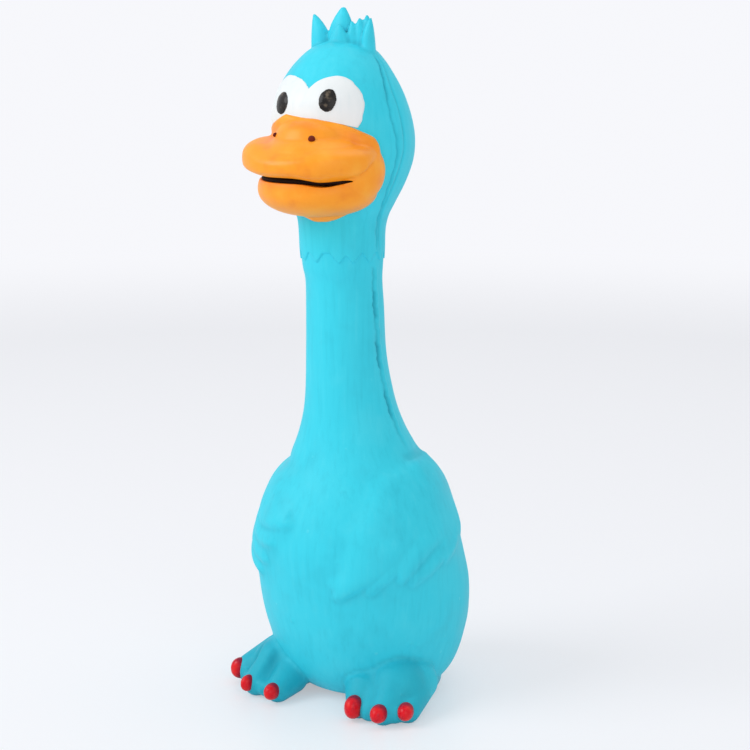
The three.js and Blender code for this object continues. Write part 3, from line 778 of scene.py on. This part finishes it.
def face_base():
    """The head's front, raised inside the painted edge and sunk under the skin outside it."""
    base = rings("face_base", skin_rows(126.5, 158.5, 0.5), 224)
    places, normals = points_of(base)
    angle, height = round_belly(places)
    # The brow stands a little higher over the right side of the bill
    other = [(-turn, z + 1.2 * hill(turn, 15, 11)) for turn, z in FACE_EDGE[1:-1]]
    outline = np.array((*FACE_EDGE, *other[::-1])) * (FACE_ARC, 1)
    depth = inside_outline(np.column_stack((angle * FACE_ARC, height)), outline)
    tall = 2.1 - 1.7 * ramp(height, 145.5, 152)
    rise = tall * np.sqrt(1 - (1 - np.clip(depth / tall, 0, 1)) ** 2)
    relief = np.where(depth > 0, rise, np.maximum(depth * 2, -1.6)) - temple_dip(places)
    move_points(base, places + normals * relief[:, None])
    return base


# How far back along y, and how high the lip's lower edge is there
CURL = np.array((
    (-23, 139.5), (-22.2, 141.2), (-21.4, 142.8), (-20, 144.6), (-16, 146.8), (-13, 148), (-8, 149.5),
))
LIP_SIZE = (18.9, 17.9, 4.9)
LIP_BACK = 16.6
LIP_HEIGHT = 145.4
LIP_POWER = 0.78
LIP_UNDER = 0.56


def lip_form():
    lip = ball("lip", (0, 0, 0), LIP_SIZE, LIP_POWER, 72)
    places, _ = points_of(lip)
    x, y, z = places.T
    # Fuller below its rim than above it, down to the mouth line
    down = np.clip(-z / LIP_SIZE[2], 0, 0.995)
    under, over = ((1 - down ** (2 / power)) ** (power / 2) for power in (LIP_UNDER, LIP_POWER))
    places[:, :2] *= (under / over)[:, None]
    y -= LIP_BACK
    front = 1 - ramp(y, -36, -28)
    back = ramp(y, -22, -12)
    x *= 1 - 0.12 * back
    z *= 1 - 0.24 * front - 0.5 * back
    z += 0.3 * ramp(-x, 5, 15) * np.maximum(z, 0)
    z += LIP_HEIGHT - 1.1 * front + 2.4 * back + 0.5 * ramp(-x, 4, 14)
    # Behind the mouth's corners the lip curls up over the cheeks
    z[:] = np.maximum(z, np.interp(y, *CURL.T))
    move_points(lip, places)
    return lip


def soften(obj, weights, iterations):
    """Smooths the parts of a mesh that have weight."""
    group = obj.vertex_groups.new(name="soft")
    for step in range(1, 9):
        members = np.nonzero(np.round(weights * 8) == step)[0]
        if len(members):
            group.add(members.tolist(), step / 8, "REPLACE")
    modify(obj, "SMOOTH", factor=0.5, iterations=iterations, vertex_group="soft")
    obj.vertex_groups.clear()


def sag(obj, share=1):
    """Hangs a form along the mouth line, which dips on the left side; the share may differ over it."""
    places, _ = points_of(obj)
    places[:, 2] -= (0.9 * hill(places[:, 0], 9, 3.6) - 0.25) * share
    move_points(obj, places)


def bill_form():
    jaw = ball("jaw", (0, -15.8, 138), (15.5, 14.6, 7.1), 0.9, 64)
    # Cut off flat under the lip
    move_points(jaw, np.minimum(points_of(jaw)[0], (np.inf, np.inf, 141)))
    forms = [
        face_base(), lip_form(),
        ball("nose", (0.7, -18.2, 147.6), (10.3, 10.5, 8.5), 0.75, 64),
        ball("bridge", (1.2, -17.6, 145.4), (15.2, 15.2, 7.4), 1, 64),
        jaw,
        ball("cheek_left", (13, -15.6, 142.8), (5.2, 7.4, 7.4), 1, 48),
        ball("cheek_right", (-12.5, -12.8, 142.8), (5.2, 7, 7.4), 1, 48),
    ]
    bill = cast("bill_form", forms, BILL_VOXEL, 6)
    x, _, z = points_of(bill)[0].T
    aside = ramp(np.abs(x), 10, 13) * band(z, 138, 141, 152, 154)
    saddle = band(z, 147.5, 150, 153.5, 155.5)
    soften(bill, np.maximum(0.6 * aside, 0.7 * saddle), 10)
    _, y, z = points_of(bill)[0].T
    sag(bill, hill(z, MOUTH_HEIGHT, 3) * (1 - ramp(y, -24, -18)))
    mouth = ball("mouth_cut", (0, -27, MOUTH_HEIGHT), (15.4, 16, 0.8), 1, 96)
    sag(mouth)
    return hollow(bill, mouth)


bill = bill_form()
mouth = ball("mouth_inside", (0, -15.8, 140.5), (14.6, 13.4, 1), 0.5, 48)

nails = []
for side, _, toes in FEET:
    for name, *_, heading, centre, size in toes:
        form = ball(f"nail_{side}_{name}_form", (0, 0, 0), size, 0.92, 32)
        aimed(form, centre, (0, 1, 0), heading)
        # Painted shade: the nail is darker where it meets the toe
        places, _ = points_of(form)
        ahead = (places - np.array(centre)) @ np.array(heading) / size[1]
        note(form, "hollow", 1 - ramp(ahead, 0.1, 0.6))
        nails.append((f"nail_{side}_{name}", form))

# Place across and up, and half width
NOSTRILS = {"left": (5.8, 151, 0.9), "right": (-6.4, 151.6, 0.6)}
nostril_forms = []
bill_surface = surface_of(bill)
for side, (across, up, wide) in NOSTRILS.items():
    spot = np.array(seen_from_front(bill_surface, across, up)[0]) / MM
    nostril_forms.append((side, ball(f"nostril_{side}_form", spot, (wide, 0.85, wide), 1, 24)))


# Inside: squeaker, plug and stuffing

def turned(name, profile):
    """A closed ring turned from a profile of radius and height about the squeaker's axis."""
    rows = [(0, SQUEAKER_Y, height, radius, radius) for radius, height in (*profile, profile[0])]
    return rings(name, rows, 96, "NOTHING")


def rounded(profile, amount):
    """The profile with each corner cut back twice, so that it turns as a soft edge."""
    profile = np.array(profile)
    for cut in (amount, amount / 2.6):
        softer = []
        for index, corner in enumerate(profile):
            for other in (profile[index - 1], profile[(index + 1) % len(profile)]):
                along = other - corner
                length = np.linalg.norm(along)
                softer.append(corner + along / length * min(cut, length * 0.4))
        profile = softer
    return profile


# Radius and height of the plug's corners
PLUG = ((4.3, 0.6), (8.5, 0.6), (8.5, 3.3), (11.5, 3.3), (11.5, 4.9), (4.3, 4.9))
FOLDS = 4
FOLD_STEPS = 12
BELLOWS_BOTTOM = 7
BELLOWS_TOP = 23
BELLOWS_RADIUS = 9.8
FOLD_DEPTH = 3.2
BELLOWS_WALL = 0.9


def bellows_profile():
    """Rounded folds, the outer side from the bottom up and then the inner side down."""
    turn = np.linspace(0, 1, FOLDS * FOLD_STEPS + 1)
    wave = 0.5 - 0.5 * np.cos(2 * math.pi * FOLDS * turn)
    radius = BELLOWS_RADIUS + FOLD_DEPTH * wave**0.8
    outer = np.column_stack((radius, BELLOWS_BOTTOM + turn * (BELLOWS_TOP - BELLOWS_BOTTOM)))
    inner = outer - (BELLOWS_WALL, 0)
    return [*outer, *inner[::-1]]


plug = turned("squeaker_plug", rounded(PLUG, 0.5))
bellows = turned("bellows_folds", bellows_profile())


FIBRE_VOXEL = 1.1
FIBRE_WAVES = 9


def stuffing(node, name, seed):
    """The fibre that fills a space: the part's own form, made lumpy and drawn in a little."""
    take(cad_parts[node])
    bpy.ops.object.duplicate()
    obj = named(name)
    for key in [key for key in obj.keys() if key.startswith("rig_")]:
        del obj[key]
    obj.parent = None
    face_out(obj)
    modify(obj, "REMESH", mode="VOXEL", voxel_size=FIBRE_VOXEL * MM)
    places, normals = points_of(obj)
    wave = np.zeros(len(places))
    pick = np.random.default_rng(seed)
    for _ in range(FIBRE_WAVES):
        turn = pick.normal(size=3)
        turn *= pick.uniform(0.35, 0.9) / np.linalg.norm(turn)
        wave += np.sin(places @ turn + pick.uniform(0, 2 * math.pi))
    move_points(obj, places - normals * (0.35 + 0.1 * np.clip(wave, -3, 3))[:, None])
    return obj


belly_stuffing = stuffing("body_fill", "belly_stuffing", 3)
neck_stuffing = stuffing("neck_fill", "neck_stuffing", 4)
head_stuffing = stuffing("head_fill", "head_stuffing", 5)


# What the materials read from the skins: where painted shade darkens the creases and the feet

places, _ = points_of(lower)
# Painted shade: the hollow value darkens the paint in the creases, in the toe valleys and along the trimming
# cuts
valley_and_cut_shade = np.maximum(0.45 * toe_valleys(places), 1.3 * seam_cut(places)[0])
folds = creases(lower, 3) * (1 - 0.8 * outer_rear(places))
note(lower, "hollow", np.minimum(np.maximum(folds, valley_and_cut_shade), 1))
# Painted shade: the feet lie under the belly and are turned a darker blue
note(lower, "foot", spread(lower, foot_shade_mask(places), 3))
places, _ = points_of(upper)
# Painted shade in the head's creases and trimming cuts, and in the bill's creases
note(upper, "hollow", np.maximum(creases(upper, 2), 0.9 * trim_cuts(places)[0]))
note(bill, "hollow", creases(bill, 3))


# Materials

def srgb(*channels):
    return (*(((c / 255 + 0.055) / 1.055) ** 2.4 if c > 10 else c / 255 / 12.92 for c in channels), 1)


def put(tree, kind, inputs=None, **settings):
    """Adds a shader node; each input is a value, or the socket that it is linked from."""
    node = tree.nodes.new("ShaderNode" + kind)
    for key, value in settings.items():
        setattr(node, key, value)
    for key, value in (inputs or {}).items():
        if isinstance(value, bpy.types.NodeSocket):
            tree.links.new(value, node.inputs[key])
        else:
            node.inputs[key].default_value = value
    return node


def blended(tree, share, under, over):
    return put(tree, "Mix", {0: share, 6: under, 7: over}, data_type="RGBA").outputs[2]


def math_of(tree, operation, whole, *others, clamp=False):
    """Takes values together, one after the other."""
    for value in others:
        whole = put(tree, "Math", {0: whole, 1: value}, operation=operation, use_clamp=clamp).outputs[0]
    return whole


def total(tree, *parts):
    """The sum of values, each by its weight, and no more than 1."""
    return math_of(tree, "ADD", *(math_of(tree, "MULTIPLY", *part) for part in parts), clamp=True)


def mapped(tree, value, low, high, to_low=0, to_high=1):
    inputs = {"Value": value, "From Min": low, "From Max": high, "To Min": to_low, "To Max": to_high}
    return put(tree, "MapRange", inputs, interpolation_type="SMOOTHSTEP").outputs["Result"]


def noise(tree, place, scale, detail, rough=0.55):
    inputs = {"Vector": place, "Scale": scale, "Detail": detail, "Roughness": rough}
    return put(tree, "TexNoise", inputs).outputs[0]


def own_place(tree):
    return put(tree, "TexCoord").outputs["Object"]


def drawn_out(tree, place, scale):
    """A place squeezed along some axes, which draws a pattern out into strands."""
    return put(tree, "Mapping", {"Vector": place, "Scale": scale}).outputs[0]


def noted(tree, name):
    """The value that note() kept on the mesh."""
    return put(tree, "Attribute", attribute_name=name).outputs["Fac"]


COLOURS = ("Colour", "Deep", "Thin", "Dust", "Gaps")


def effect(name, inputs, outputs):
    """A new group of nodes with its named inputs and outputs."""
    tree = bpy.data.node_groups.new(name, "ShaderNodeTree")
    for way, labels in (("INPUT", inputs), ("OUTPUT", outputs)):
        for label in labels:
            kind = "NodeSocketColor" if label in COLOURS else "NodeSocketFloat"
            tree.interface.new_socket(name=label, in_out=way, socket_type=kind)
    return tree, tree.nodes.new("NodeGroupInput").outputs


def give(tree, **values):
    """Links what a group puts out, and hands the group on."""
    result = tree.nodes.new("NodeGroupOutput")
    for label, value in values.items():
        tree.links.new(value, result.inputs[label])
    return tree


PAINT = ("Colour", "Deep", "Thin", "Streaks", "Clouds", "Cloud Scale", "Hollow Shade", "Specks", "Roughness")
PLASTIC = ("Colour", "Dust", "Clouds", "Grain", "Roughness")
FIBRE = ("Colour", "Gaps")


def brushed_rubber():
    """Latex colour as it is brushed or dipped on: streaks, clouds and dust specks, with painted shade darkening
    the creases.
    """
    tree, given = effect("brushed_rubber", PAINT, ("Colour", "Roughness", "Height"))
    place = own_place(tree)
    streak = noise(tree, drawn_out(tree, place, (1, 1, 0.07)), 620, 4, 0.6)
    cloud = noise(tree, place, given["Cloud Scale"], 3)
    grain = noise(tree, place, 2600, 2)
    dots = put(tree, "TexVoronoi", {"Vector": place, "Scale": 210}).outputs["Distance"]
    chosen = mapped(tree, noise(tree, place, 160, 1), 0.56, 0.62)
    speck = math_of(tree, "MULTIPLY", mapped(tree, dots, 0.06, 0.13, 1, 0), chosen)
    hollow_shade = noted(tree, "hollow")

    def gathered(streak_end, cloud_end, *spots):
        """Where streaks, clouds and spots gather."""
        streaks = mapped(tree, streak, 0.5, streak_end), given["Streaks"]
        return total(tree, streaks, (mapped(tree, cloud, 0.5, cloud_end), given["Clouds"]), spots)

    colour = blended(tree, gathered(0.72, 0.7, speck, given["Specks"]), given["Colour"], given["Thin"])
    # Painted shade: where the mesh notes a hollow, the colour turns towards Deep
    deep = gathered(0.3, 0.3, hollow_shade, given["Hollow Shade"])
    uneven = mapped(tree, cloud, 0.3, 0.7, -0.08, 0.08)
    return give(
        tree, Colour=blended(tree, deep, colour, given["Deep"]),
        Roughness=total(tree, (given["Roughness"], 1), (uneven, 1), (hollow_shade, 0.12)),
        Height=total(tree, (streak, 0.3), (grain, 0.22), (speck, 0.5)),
    )


def moulded():
    """Moulded plastic: a fine grain, soft flow clouds and a little dust."""
    tree, given = effect("moulded", PLASTIC, ("Colour", "Roughness", "Height"))
    place = own_place(tree)
    cloud = noise(tree, place, 160, 4)
    grain = noise(tree, place, given["Grain"], 2)
    share = math_of(tree, "MULTIPLY", mapped(tree, cloud, 0.42, 0.68), given["Clouds"])
    return give(
        tree, Colour=blended(tree, share, given["Colour"], given["Dust"]),
        Roughness=math_of(tree, "ADD", mapped(tree, grain, 0.3, 0.7, -0.06, 0.06), given["Roughness"]),
        Height=grain,
    )


def loose_fibre():
    """Carded fibre: fine crossing strands over soft lumps."""
    tree, given = effect("loose_fibre", FIBRE, ("Colour", "Height"))
    place = own_place(tree)
    bent = put(tree, "TexNoise", {"Vector": place, "Scale": 90, "Detail": 2}).outputs["Color"]
    bent = put(tree, "VectorMath", {0: bent, "Scale": 0.02}, operation="SCALE").outputs[0]
    bent = put(tree, "VectorMath", {0: place, 1: bent}, operation="ADD").outputs[0]
    strands = math_of(tree, "MAXIMUM", *(
        noise(tree, drawn_out(tree, bent, scale), 1500, 2)
        for scale in ((1, 0.1, 0.25), (0.15, 1, 0.2), (0.3, 0.12, 1))
    ))
    share = mapped(tree, strands, 0.45, 0.75)
    return give(tree, Colour=blended(tree, share, given["Gaps"], given["Colour"]), Height=strands)


def nodes_of(owner):
    owner.use_nodes = True
    return owner.node_tree


def material(name, surface_effect, values, bump, **shader_values):
    """A material from one effect with its own values; the shader's plain values go on its own sockets."""
    made = bpy.data.materials.new(name)
    tree = nodes_of(made)
    shader = tree.nodes["Principled BSDF"]
    for key, value in shader_values.items():
        shader.inputs[key.replace("_", " ")].default_value = value
    surface = tree.nodes.new("ShaderNodeGroup")
    surface.node_tree = surface_effect
    for socket, value in zip(surface.inputs, values):
        socket.default_value = srgb(*value) if isinstance(value, tuple) else value
    given = surface.outputs
    tree.links.new(given["Colour"], shader.inputs["Base Color"])
    if "Roughness" in given:
        tree.links.new(given["Roughness"], shader.inputs["Roughness"])
    strength, depth = bump
    height = put(tree, "Bump", {"Height": given["Height"], "Strength": strength, "Distance": depth * MM})
    tree.links.new(height.outputs["Normal"], shader.inputs["Normal"])
    return made


rubber, plastic, fibre = brushed_rubber(), moulded(), loose_fibre()

# Name, the values in the order of PAINT, the gloss, and the bump's strength and depth where it isn't LIGHT_BUMP
LIGHT_BUMP = (0.3, 0.2)
# Each Deep colour is the paint's darker streaks and clouds, and also the painted shade that the creases take
RUBBERS = (
    ("blue_latex", ((52, 208, 229), (20, 160, 184), (96, 222, 238), 0.12, 0.14, 75, 0.42, 0.35, 0.55), 0.3,
     0.5, 0.25),
    ("orange_latex", ((253, 156, 20), (232, 116, 12), (255, 178, 58), 0.05, 0.4, 130, 0.8, 0.15, 0.42), 0.4),
    ("white_coat", ((231, 235, 235), (200, 220, 226), (242, 243, 244), 0.12, 0.25, 75, 0.4, 0.3, 0.5), 0.3),
    # Painted reflection: the warm brown clouds on the black of the pupils stand in for their glossy reflections
    ("black_coat", ((22, 19, 17), (10, 9, 8), (112, 100, 84), 0.1, 0.8, 520, 0.2, 0.1, 0.3), 0.25),
    # Painted highlights: the orange clouds on the red of the nails; the dark Deep colour is their painted shade
    # at the rim
    ("red_coat", ((224, 8, 28), (136, 2, 44), (242, 62, 40), 0.1, 0.45, 320, 0.75, 0.1, 0.3), 0.25),
    ("mouth_dark", ((26, 12, 8), (12, 6, 5), (80, 38, 14), 0.1, 0.3, 75, 0.5, 0, 0.8), 0.2),
    ("nostril_paint", ((92, 20, 8), (40, 8, 6), (130, 44, 12), 0.1, 0.5, 75, 0.5, 0, 0.6), 0.2),
)
blue, orange, white, black, red, dark, brown = (
    material(name, rubber, values, bump or LIGHT_BUMP, Specular_IOR_Level=gloss)
    for name, values, gloss, *bump in RUBBERS
)
hard = material("hard_plastic", plastic, ((244, 244, 242), (214, 212, 204), 0.35, 1800, 0.3), (0.2, 0.1))
vinyl = material(
    "soft_vinyl", plastic, ((233, 224, 205), (205, 190, 160), 0.6, 900, 0.45), (0.3, 0.15),
    Subsurface_Weight=0.1, Subsurface_Scale=0.002,
)
film = material("reed_film", plastic, ((215, 175, 98), (190, 140, 66), 0.7, 3000, 0.22), (0.15, 0.05))
wadding = material(
    "white_fibre", fibre, ((244, 244, 240), (205, 205, 198)), (0.8, 0.6),
    Roughness=0.95, Sheen_Weight=0.3, Sheen_Roughness=0.5,
)

# Painted shade: the feet, which lie under the belly, take a darker blue, and the creases and valleys are darker
# still, where the paint also gathers
tree = blue.node_tree
base_colour = tree.nodes["Principled BSDF"].inputs["Base Color"]
painted = base_colour.links[0].from_socket
for name, strength, colour in (("foot", 0.65, srgb(0, 154, 176)), ("hollow", 0.34, srgb(0, 112, 134))):
    painted = blended(tree, math_of(tree, "MULTIPLY", noted(tree, name), strength), painted, colour)
tree.links.new(painted, base_colour)

for node in ("squeaker_plate", "squeaker_top", "reed_holder", "reed_clip", "reed"):
    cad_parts[node].material_slots[0].material = film if node == "reed" else hard


# What each piece is made of and which CAD parts it hides; then the small pieces are hung on the body or the
# head

for piece, coating, slot, *nodes in (
    (lower, blue, "latex_blue", "body_skin", "foot_left", "foot_right", "neck_skin"),
    (upper, blue, "latex_blue", "head_skin"),
    (bill, orange, "latex_orange", "upper_bill", "lower_bill"),
    (belly_stuffing, wadding, "fibre_fill", "body_fill"),
    (neck_stuffing, wadding, "fibre_fill", "neck_fill"),
    (head_stuffing, wadding, "fibre_fill", "head_fill"),
    (plug, blue, "latex_blue", "base_plug"),
    (bellows, vinyl, "vinyl", "squeaker_bellows"),
    (patch, white, "latex_white", "eye_patch"),
    (mouth, dark, "latex_black", "mouth_lining"),
    *((pupil, black, "latex_black", f"pupil_{side}") for side, pupil in pupils),
    *((form, brown, "latex_black", f"nostril_{side}") for side, form in nostril_forms),
    *((form, red, "latex_red", node) for node, form in nails),
):
    piece.data.materials.clear()
    piece.data.materials.append(coating)
    take(piece)
    if piece is plug:
        bpy.ops.object.shade_smooth_by_angle(angle=math.radians(40))
    else:
        bpy.ops.object.shade_smooth()
    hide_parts(*nodes)

for piece in (lower, belly_stuffing, neck_stuffing):
    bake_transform(piece)
for piece in (upper, head_stuffing, bill):
    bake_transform(piece)
for piece in (plug, bellows, *(form for _, form in nails)):
    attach(piece, "body")
for piece in (patch, mouth, *(form for _, form in pupils + nostril_forms)):
    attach(piece, "head")
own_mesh(bellows)


# Floor, backdrop and light
scene = bpy.context.scene
scene.view_settings.view_transform = "Standard"

floor = primitive("floor", bpy.ops.mesh.primitive_plane_add, size=60)
BACKDROP = (0.93, 0.935, 0.97, 1)


def seen_directly(tree):
    """1 where the camera sees a surface by itself, mirrored or through glass."""
    path = put(tree, "LightPath").outputs
    return math_of(tree, "MAXIMUM", *(path[f"Is {ray} Ray"] for ray in ("Camera", "Glossy", "Transmission")))


def shown(tree, share, under, over, output):
    """Puts one shader over another by a share, and sends the result to the output."""
    join = put(tree, "MixShader", {0: share, 1: under.outputs[0], 2: over.outputs[0]})
    tree.links.new(join.outputs[0], tree.nodes[output].inputs["Surface"])


floor_paint = bpy.data.materials.new("floor_paint")
tree = nodes_of(floor_paint)
paper = tree.nodes["Principled BSDF"]
paper.inputs["Base Color"].default_value = (0.9, 0.91, 0.94, 1)
paper.inputs["Roughness"].default_value = 0.4
away = put(tree, "VectorMath", {0: own_place(tree)}, operation="LENGTH").outputs["Value"]
# Nearly half of what is seen of the floor is its plain tone, so that shadows stay pale, and further off all is
near = math_of(tree, "MULTIPLY", seen_directly(tree), 0.45)
share = math_of(tree, "MAXIMUM", near, mapped(tree, away, 0.25, 1.0))
shown(tree, share, paper, put(tree, "Emission", {"Color": BACKDROP}), "Material Output")
floor.data.materials.append(floor_paint)

scene.world = scene.world or bpy.data.worlds.new("studio")
tree = nodes_of(scene.world)
air = tree.nodes["Background"]
air.inputs["Color"].default_value = (0.96, 0.98, 1.0, 1)
air.inputs["Strength"].default_value = 0.6
seen = put(tree, "Background", {"Color": BACKDROP, "Strength": 1})
shown(tree, seen_directly(tree), air, seen, "World Output")


def lamp(name, place, aim, power):
    """A round soft lamp aimed at a height on the toy."""
    light = bpy.data.lights.new(name, "AREA")
    light.shape = "DISK"
    light.size = 0.6
    light.energy = power
    obj = bpy.data.objects.new(name, light)
    scene.collection.objects.link(obj)
    obj.location = place
    obj.rotation_mode = "QUATERNION"
    obj.rotation_quaternion = (Vector((0, 0, aim)) - Vector(place)).to_track_quat("-Z", "Y")


lamp("key", (-0.45, -0.55, 0.6), 0.08, 3.6)
lamp("fill", (0.6, -0.5, 0.35), 0.08, 1.0)
lamp("top", (0.1, 0.2, 0.8), 0.05, 0.9)
